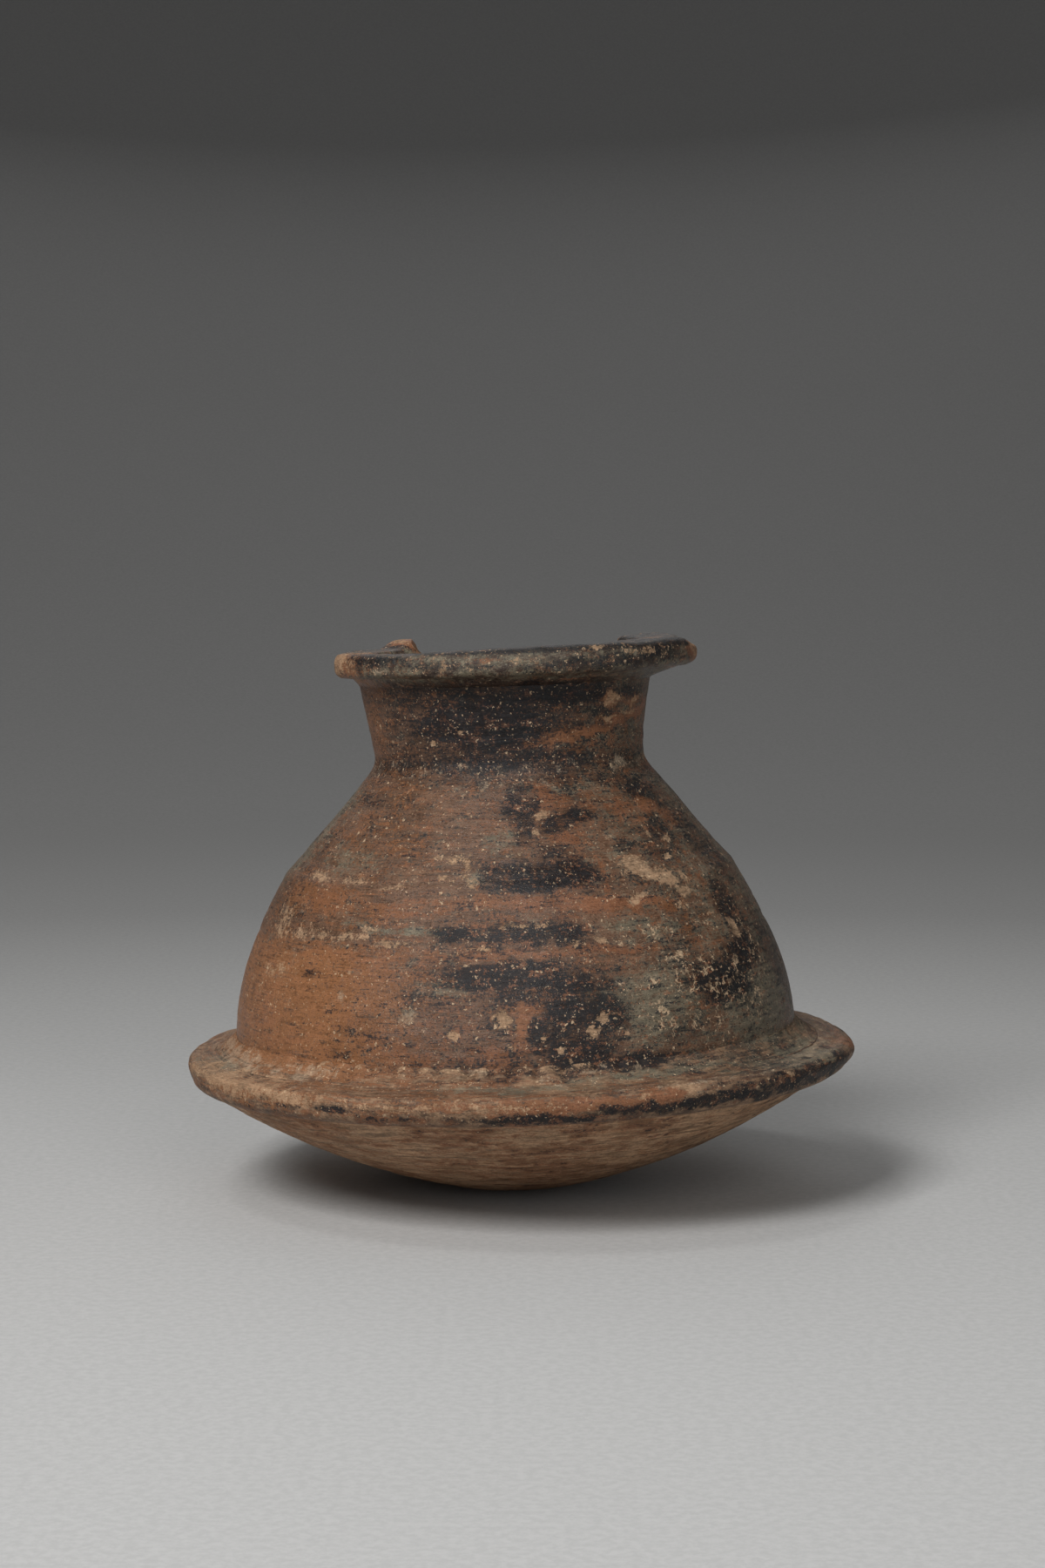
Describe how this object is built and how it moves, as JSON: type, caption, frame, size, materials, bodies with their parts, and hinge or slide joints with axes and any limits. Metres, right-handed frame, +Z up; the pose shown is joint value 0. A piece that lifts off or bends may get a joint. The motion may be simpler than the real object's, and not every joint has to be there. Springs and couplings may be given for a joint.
{
  "type": "pottery jar",
  "caption": "Hand-built round-based pottery jar with a projecting ledge, a domed body, a flared neck and a broken out-turned lip.",
  "frame": {"origin": "middle of the worn flat under the round base, on the ground", "axes": "+Z upward as the jar stands (its own axis leans 1.77 degrees towards -X), +Y away from the camera, +X to the camera's right"},
  "size_m": [0.1607, 0.1608, 0.1336],
  "materials": {
    "base_clay": "matte wiped clay with fine scratches",
    "ledge_clay": "worn matte orange clay with dark patches",
    "luting_clay": "crimped matte pinkish clay",
    "inner_clay": "matte smeared clay",
    "wall_slip": "burnished red-brown slip with black fire clouds and pale flecks",
    "neck_slip": "burnished near-black slip with red streaks",
    "lip_slip": "worn dark slip over orange clay"
  },
  "bodies": {
    "root": {"base_saucer": "base_clay", "ledge_ring": "ledge_clay", "outer_luting_strip": "luting_clay", "inner_luting_coil": "inner_clay", "lower_wall": "wall_slip", "belt_course": "wall_slip", "shoulder_course": "wall_slip", "neck_collar": "neck_slip", "broken_lip": "lip_slip"}
  },
  "joints": []
}
